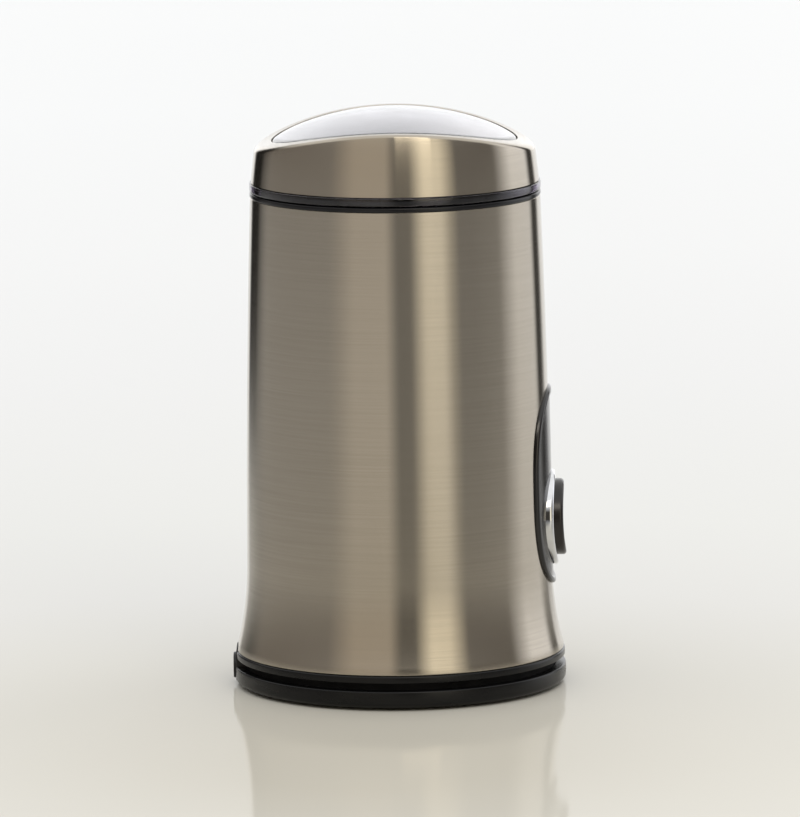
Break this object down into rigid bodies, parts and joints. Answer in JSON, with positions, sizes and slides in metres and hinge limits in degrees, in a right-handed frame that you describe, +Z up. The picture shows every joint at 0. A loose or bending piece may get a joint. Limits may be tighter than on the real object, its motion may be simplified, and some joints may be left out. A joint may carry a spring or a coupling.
{
  "type": "electric spice grinder",
  "caption": "Tall round electric spice grinder with a flared brushed-steel body, an arched lid with a clear window, a dished side button and a black stepped base.",
  "frame": {"origin": "centre of the feet's underside, on the body's axis, at the surface the grinder stands on", "axes": "+Z up along the body's axis, +X towards the button, -X towards the cord outlet"},
  "size_m": [0.1, 0.099, 0.1717],
  "materials": {
    "lid_steel": "brushed round the lid",
    "smoky_clear": "clear smoky polycarbonate",
    "body_steel": "brushed round the body",
    "collar_black": "moulded ABS, semi-gloss",
    "bowl_steel": "polished inside",
    "seal_rubber": "matt",
    "frame_plastic": "moulded, matt",
    "screw_steel": "zinc plated",
    "base_black": "moulded ABS, semi-gloss",
    "foot_rubber": "matt",
    "lamination_steel": "stacked sheet",
    "copper_wire": "varnished winding",
    "bracket_alloy": "die cast",
    "bearing_bronze": "sintered",
    "holder_brass": "stamped",
    "carbon": "pressed carbon",
    "spring_steel": "drawn wire",
    "panel_black": "moulded ABS, glossy rim",
    "bezel_chrome": "polished",
    "button_black": "moulded ABS, semi-gloss",
    "switch_plastic": "moulded",
    "plunger_red": "moulded",
    "rod_plastic": "moulded acetal",
    "bush_black": "moulded, matt",
    "shaft_steel": "ground",
    "commutator_copper": "turned",
    "hub_plastic": "moulded",
    "blade_steel": "stamped and ground"
  },
  "bodies": {
    "housing": {"body_shell": "body_steel", "top_collar": "collar_black", "grinding_bowl": "bowl_steel", "bowl_seal": "seal_rubber", "motor_frame": "frame_plastic", "frame_screws": "screw_steel", "base_ring": "base_black", "base_cover": "base_black", "base_screws": "screw_steel", "feet": "foot_rubber", "stator_core": "lamination_steel", "field_coils": "copper_wire", "upper_bracket": "bracket_alloy", "lower_bracket": "bracket_alloy", "upper_bearing": "bearing_bronze", "lower_bearing": "bearing_bronze", "brush_holders": "holder_brass", "brushes": "carbon", "brush_springs": "spring_steel", "motor_screws": "screw_steel", "motor_mounts": "foot_rubber", "button_panel": "panel_black", "button_bezel": "bezel_chrome", "button_spring": "spring_steel", "switch_body": "switch_plastic", "interlock_spring": "spring_steel", "cord_bush": "bush_black", "cord_clamp": "switch_plastic", "clamp_screws": "screw_steel"},
    "lid": {"lid_cover": "lid_steel", "lid_liner": "smoky_clear"},
    "rotor": {"motor_shaft": "shaft_steel", "rotor_core": "lamination_steel", "rotor_windings": "copper_wire", "commutator": "commutator_copper", "blade_hub": "hub_plastic", "blade": "blade_steel", "blade_nut": "blade_steel"},
    "button": {"power_button": "button_black"},
    "plunger": {"switch_plunger": "plunger_red"},
    "interlock": {"interlock_rod": "rod_plastic"}
  },
  "joints": [
    {"name": "lid_lift", "type": "slide", "parent": "housing", "child": "lid", "axis": [0, 0, 1], "range_m": [0, 0.06]},
    {"name": "rotor_spin", "type": "hinge", "parent": "housing", "child": "rotor", "pos_m": [0, 0, 0], "axis": [0, 0, 1], "continuous": true},
    {"name": "button_press", "type": "slide", "parent": "housing", "child": "button", "axis": [-1, 0, 0], "range_m": [0, 0.002], "stiffness_N_per_m": 800, "springref_m": -0.001, "deforming": ["button_spring"]},
    {"name": "plunger_press", "type": "slide", "parent": "housing", "child": "plunger", "axis": [-1, 0, 0], "range_m": [0, 0.002]},
    {"name": "interlock_rise", "type": "slide", "parent": "housing", "child": "interlock", "axis": [0, 0, 1], "range_m": [0, 0.0025], "deforming": ["interlock_spring"]}
  ],
  "couplings": [
    {"joint": "plunger_press", "follows": "button_press", "ratio": 1},
    {"joint": "interlock_rise", "follows": "lid_lift", "ratio": 0.0416}
  ]
}
